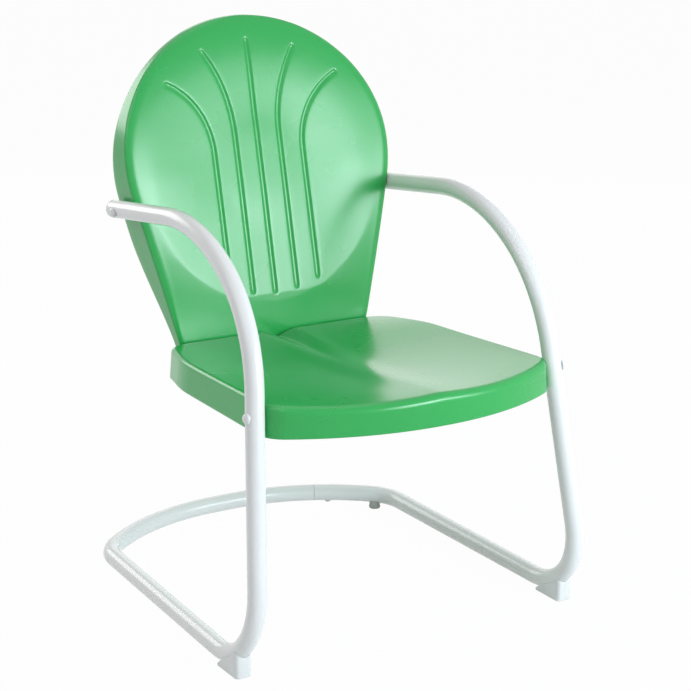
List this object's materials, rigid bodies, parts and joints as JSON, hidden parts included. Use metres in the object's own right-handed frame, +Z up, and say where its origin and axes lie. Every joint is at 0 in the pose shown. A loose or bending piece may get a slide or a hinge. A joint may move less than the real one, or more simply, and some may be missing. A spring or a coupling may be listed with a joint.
{
  "type": "metal lawn chair",
  "caption": "Outdoor armchair with a pressed steel seat pan, a fluted shell back with a rolled rim, and a cantilever frame of bent steel tube.",
  "frame": {"origin": "on the floor, under the middle of the chair's outline", "axes": "+Z up, the sitter faces -Y, +X to the chair's right as seen from its front"},
  "size_m": [0.5739, 0.6594, 0.8404],
  "materials": {
    "green_enamel": "glossy mid-green enamel on pressed steel sheet",
    "white_enamel": "glossy white enamel on steel tube",
    "white_plastic": "moulded white plastic, satin",
    "grey_rubber": "moulded pale grey rubber, matt",
    "zinc_plated_steel": "bright zinc plate"
  },
  "bodies": {
    "root": {"seat_pan": "green_enamel", "back_shell": "green_enamel", "frame_right": "white_enamel", "frame_left": "white_enamel", "crossbar_screw": "white_enamel", "arm_bolt_right": "white_enamel", "arm_washer_right": "zinc_plated_steel", "arm_nut_right": "zinc_plated_steel", "arm_bolt_left": "white_enamel", "arm_washer_left": "zinc_plated_steel", "arm_nut_left": "zinc_plated_steel", "seat_bolt_right": "white_enamel", "seat_washer_right": "zinc_plated_steel", "seat_nut_right": "zinc_plated_steel", "seat_bolt_left": "white_enamel", "seat_washer_left": "zinc_plated_steel", "seat_nut_left": "zinc_plated_steel", "back_bolt_1": "zinc_plated_steel", "back_bolt_2": "zinc_plated_steel", "back_bolt_3": "zinc_plated_steel", "back_bolt_4": "zinc_plated_steel", "back_nut_1": "zinc_plated_steel", "back_nut_2": "zinc_plated_steel", "back_nut_3": "zinc_plated_steel", "back_nut_4": "zinc_plated_steel", "arm_plug_right": "white_plastic", "arm_plug_left": "white_plastic", "front_glide_right": "white_plastic", "front_glide_left": "white_plastic", "rear_bumper_right": "grey_rubber", "rear_bumper_left": "grey_rubber"}
  },
  "joints": []
}
